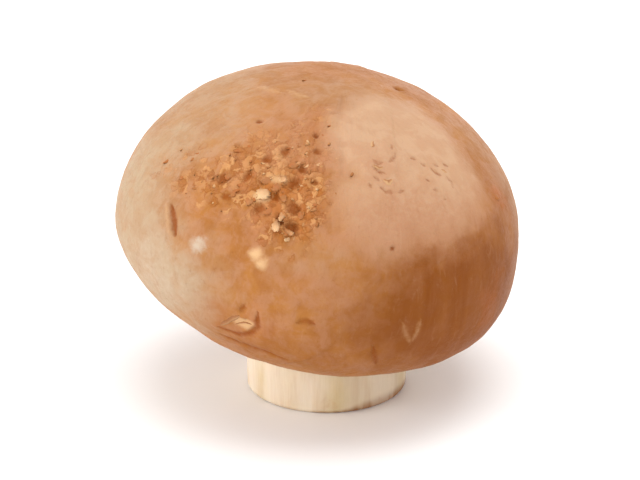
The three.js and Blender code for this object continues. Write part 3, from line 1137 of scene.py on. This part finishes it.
def veil_mesh():
    """The veil as a closed ring, with fine folds."""
    rows = veil_rows()
    ring = np.stack((np.cos(veil_azimuth), np.sin(veil_azimuth), 0 * veil_azimuth), axis=-1)
    folds = noise_field(ring * FOLD_RADIUS, 1.1 * mm, 3, 21)
    for i in range(1, 15):
        share = i / 14
        rows[i, :, 2] += folds * 0.16 * mm * math.sin(math.pi * min(share, 0.9))
        rows[i, :, 2] += 0.3 * mm * smoothstep(share, 0.8, 1.0) * folds
    count, columns = rows.shape[:2]
    index = np.arange(count * columns).reshape(count, columns)
    below = np.roll(index, -1, axis=0)
    after = np.roll(index, -1, axis=1)
    below_after = np.roll(below, -1, axis=1)
    quads = np.stack((index, below, below_after, after), axis=-1).reshape(-1, 4)
    return smooth_mesh("veil", rows.reshape(-1, 3).tolist(), quads.tolist())


VEIL_CREAM = colour(226, 204, 178)
VEIL_SHADE = colour(198, 166, 132)
VEIL_TAN = colour(196, 150, 108)


def veil_material():
    """Dull cottony cream with fine lines that run outwards from the stem."""
    material, tree, shader = new_material("veil")
    place = cap_frame(tree)
    threads = grown_noise(tree, fibre_place(tree, place, 70, 0.3), 1.0, 4, 0.65)
    soft = grown_noise(tree, place, 0.8, 4, 0.6)
    base = mix(tree, remap(tree, threads, 0.4, 0.7, 0.0, 0.7), VEIL_CREAM, VEIL_SHADE)
    base = mix(tree, remap(tree, soft, 0.55, 0.75, 0.0, 0.35), base, VEIL_TAN)
    height = plus(tree, threads, times(tree, soft, 0.5))
    finish(tree, shader, base, 0.85, 0.25, (0.25, (1.0, 0.7, 0.45), 1.0), (height, 0.6, 0.15))
    return material


veil = new_object(veil_mesh())
veil.data.materials.append(veil_material())
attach(veil, "root")
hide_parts("cap")

# ---- Stem ----------------------------------------------------------------------------------------
# The stem is solid cream flesh with fibres that run up it. It was trimmed across with a knife, and the
# mushroom stands on the cut, whose edge has dried to a thin brown line.

STEM_BASE_RADIUS = 9.8 * mm
STEM_TOP_RADIUS = 8.6 * mm
STEM_HEIGHT = 17.5 * mm
CUT_BEVEL = 0.5 * mm
STEM_COLUMNS = 300
SIDE_ROWS = 120
CUT_ROWS = 24
DRIED_TOWARDS = math.radians(-32)  # the cut edge has dried the most on this side
HANDLED_BANDS = (  # azimuth in degrees, width in degrees, strength
    (-82.0, 11.0, 0.8),
    (-62.0, 8.0, 0.35),
    (-146.0, 6.0, 0.6),
    (-118.0, 7.0, 0.25),
    (-20.0, 9.0, 0.5),
    (40.0, 14.0, 0.6),
    (120.0, 12.0, 0.5),
)


def stem_rows():
    """Rows of points from the middle of the top, down the side, and in over the cut."""
    side_height = np.linspace(STEM_HEIGHT, CUT_BEVEL, SIDE_ROWS)
    side_radius = np.interp(
        side_height,
        (0, 0.33 * STEM_HEIGHT, 0.7 * STEM_HEIGHT, STEM_HEIGHT),
        (STEM_BASE_RADIUS, STEM_RADIUS, (STEM_RADIUS + STEM_TOP_RADIUS) / 2, STEM_TOP_RADIUS),
    )
    side_radius = np.convolve(np.pad(side_radius, 12, mode="edge"), np.ones(25) / 25, mode="valid")
    bevel_turn = np.linspace(0, math.pi / 2, 8)[1:]
    bevel_radius = STEM_BASE_RADIUS - CUT_BEVEL * (1 - np.cos(bevel_turn))
    bevel_height = CUT_BEVEL * (1 - np.sin(bevel_turn))
    cut_radius = np.linspace(STEM_BASE_RADIUS - CUT_BEVEL, 0, CUT_ROWS)[1:-1]
    radius = np.concatenate((side_radius, bevel_radius, cut_radius))
    height = np.concatenate((side_height, bevel_height, np.zeros(len(cut_radius))))
    turn = np.linspace(0, 2 * math.pi, STEM_COLUMNS, endpoint=False)
    x = radius[:, None] * np.cos(turn) * (1 + STEM_OVALNESS)
    y = radius[:, None] * np.sin(turn) * (1 - STEM_OVALNESS)
    return np.stack((x, y, np.repeat(height[:, None], STEM_COLUMNS, axis=1)), axis=-1)


stem_points = stem_rows()
stem_round = np.hypot(stem_points[..., 0], stem_points[..., 1])
stem_direction = stem_points[..., :2] / stem_round[..., None]
fibre_points = np.concatenate((stem_direction * STEM_RADIUS, 0.09 * stem_points[..., 2:]), axis=-1)
stem_fibres = noise_field(fibre_points, 0.9 * mm, 3, 31)
stem_bands = noise_field(fibre_points, 4.0 * mm, 2, 32)
stem_lumps = noise_field(stem_points, 5 * mm, 2, 33)
on_side = (stem_points[..., 2] > 0.01 * mm) * smoothstep(stem_points[..., 2], 0, 1.0 * mm)
stem_swell = (0.05 * stem_fibres + 0.17 * stem_bands + 0.16 * stem_lumps) * mm * on_side
stem_points[..., :2] += stem_direction * stem_swell[..., None]
dried_side = stem_direction @ np.array((math.cos(DRIED_TOWARDS), math.sin(DRIED_TOWARDS)))
dried_height = (0.6 + 1.2 * smoothstep(dried_side, 0.6, 1.0)) * mm
cut_edge = 1 - smoothstep(stem_points[..., 2] / dried_height, 0.1, 1.0)
cut_edge *= smoothstep(stem_round, STEM_BASE_RADIUS - 1.2 * mm, STEM_BASE_RADIUS - 0.4 * mm)
cut_edge *= 0.3 + 0.7 * smoothstep(dried_side, 0.2, 0.75)
stem_turn = np.degrees(np.arctan2(stem_direction[..., 1], stem_direction[..., 0]))
bands = [share * np.exp(-(((stem_turn - middle) / wide) ** 2)) for middle, wide, share in HANDLED_BANDS]
handled = sum(bands)
handled *= 1 - 0.6 * smoothstep(stem_points[..., 2] + 1.5 * mm * stem_lumps, 2 * mm, 8 * mm)
stem_mesh = skin_mesh("stem", stem_points, (0, 0, STEM_HEIGHT), (0, 0, 0))
store(stem_mesh, "cut", (stem_points[..., 2] < 0.02 * mm).astype(float), 0.0, 1.0)
store(stem_mesh, "cut_edge", cut_edge)
store(stem_mesh, "handled", handled)
stem = new_object(stem_mesh, "stem_flesh")

STEM_CREAM = colour(225, 208, 185)
STEM_SHADE = colour(204, 176, 145)
STEM_STRAW = colour(205, 182, 136)
BRUISE_TAN = colour(192, 148, 108)
CUT_BROWN = colour(150, 98, 56)


def stem_material():
    """Cream flesh with lengthwise fibres, faint bruises, and a brown line round the cut."""
    material, tree, shader = new_material("stem_flesh")
    place = add(tree, "ShaderNodeTexCoord").outputs["Object"]
    in_mm = result(tree, "ShaderNodeMapping", {"Vector": place, "Scale": (1 / mm,) * 3})
    threads = grown_noise(tree, fibre_place(tree, in_mm, 60, 0.12), 1.0, 4, 0.65)
    broad = grown_noise(tree, fibre_place(tree, in_mm, 6, 0.08), 1.0, 4, 0.6)
    soft = grown_noise(tree, in_mm, 0.35, 4, 0.6)
    base = mix(tree, remap(tree, threads, 0.42, 0.7, 0.0, 0.22), STEM_CREAM, STEM_SHADE)
    base = mix(tree, remap(tree, broad, 0.42, 0.68, 0.0, 0.6), base, STEM_SHADE)
    handled_share = times(tree, stored(tree, "handled"), remap(tree, soft, 0.3, 0.6, 0.5, 1.0))
    base = mix(tree, handled_share, base, STEM_STRAW)
    base = mix(tree, remap(tree, soft, 0.6, 0.8, 0.0, 0.45), base, BRUISE_TAN)
    wave = {"Vector": in_mm, "Scale": 0.28, "Distortion": 3.0, "Detail": 3.0}
    rings = add(tree, "ShaderNodeTexWave", wave, wave_type="RINGS", rings_direction="Z").outputs["Fac"]
    cut_tone = times(tree, stored(tree, "cut"), remap(tree, rings, 0.3, 0.9, 0.25, 0.7))
    base = mix(tree, cut_tone, base, BRUISE_TAN)
    edge = times(tree, stored(tree, "cut_edge"), remap(tree, broad, 0.35, 0.6, 0.6, 1.0))
    base = mix(tree, edge, base, CUT_BROWN)
    height = plus(tree, times(tree, threads, 0.5), times(tree, soft, 0.6))
    finish(tree, shader, base, 0.7, 0.3, (0.25, (1.0, 0.65, 0.4), 1.5), (height, 0.5, 0.15))
    return material


stem_mesh.materials.append(stem_material())
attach(stem, "root")
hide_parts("stem")

# ---- Floor, light and camera ---------------------------------------------------------------------
# A plain white table top under four soft square lights: a broad one overhead, a strong low one at the
# left, a weak one at the front right and a faint one behind. Even white light comes from all round, and
# the camera stands far off and looks a little down.

FLOOR_REACH = 3.0
CORNERS = ((-1, -1), (1, -1), (1, 1), (-1, 1))
floor_mesh = bpy.data.meshes.new("floor")
floor_mesh.from_pydata([(x * FLOOR_REACH, y * FLOOR_REACH, 0) for x, y in CORNERS], [], [(0, 1, 2, 3)])
floor_material, floor_tree, floor_shader = new_material("table_white")
finish(floor_tree, floor_shader, (0.93, 0.93, 0.93, 1), 0.9, 0.1)
floor_mesh.materials.append(floor_material)
floor = new_object(floor_mesh)

LIGHTS = (  # name, place, size, power, tint
    ("overhead", (0.1, 0.0, 1.1), 0.9, 7.4, (1, 1, 1)),
    ("left", (-0.95, -0.25, 0.2), 0.6, 6.6, (1.0, 0.99, 0.97)),
    ("right", (0.45, -0.7, 0.55), 0.6, 1.1, (1, 1, 1)),
    ("behind", (0.35, 1.0, 0.3), 0.7, 2.2, (1, 1, 1)),
)
middle = (cad_bounds[0] + cad_bounds[1]) / 2
for name, place, size, power, tint in LIGHTS:
    light = bpy.data.lights.new(name, "AREA")
    light.size, light.energy, light.color = size, power, tint
    lamp = new_object(light)
    lamp.location = place
    lamp.rotation_mode = "QUATERNION"
    lamp.rotation_quaternion = (middle - Vector(place)).to_track_quat("-Z", "Y")

world = bpy.data.worlds.new("studio")
bpy.context.scene.world = world
world.use_nodes = True
world.node_tree.nodes["Background"].inputs["Color"].default_value = (1, 1, 1, 1)
world.node_tree.nodes["Background"].inputs["Strength"].default_value = 0.92
bpy.context.scene.view_settings.view_transform = "Standard"
bpy.context.scene.view_settings.look = "None"

CAMERA_DISTANCE = 1.22
CAMERA_ELEVATION = math.radians(24)
FRAME_WIDTH = 80 * mm  # how much of the object's plane the picture is wide
camera_data = bpy.data.cameras.new("camera")
camera_data.sensor_width = 36
camera_data.lens = 36 * CAMERA_DISTANCE / FRAME_WIDTH
camera = new_object(camera_data)
aim = Vector((middle.x, 0, 19.5 * mm))
back = Vector((0, -math.cos(CAMERA_ELEVATION), math.sin(CAMERA_ELEVATION)))
camera.location = aim + back * CAMERA_DISTANCE
camera.rotation_mode = "QUATERNION"
camera.rotation_quaternion = (-back).to_track_quat("-Z", "Y")
bpy.context.scene.camera = camera
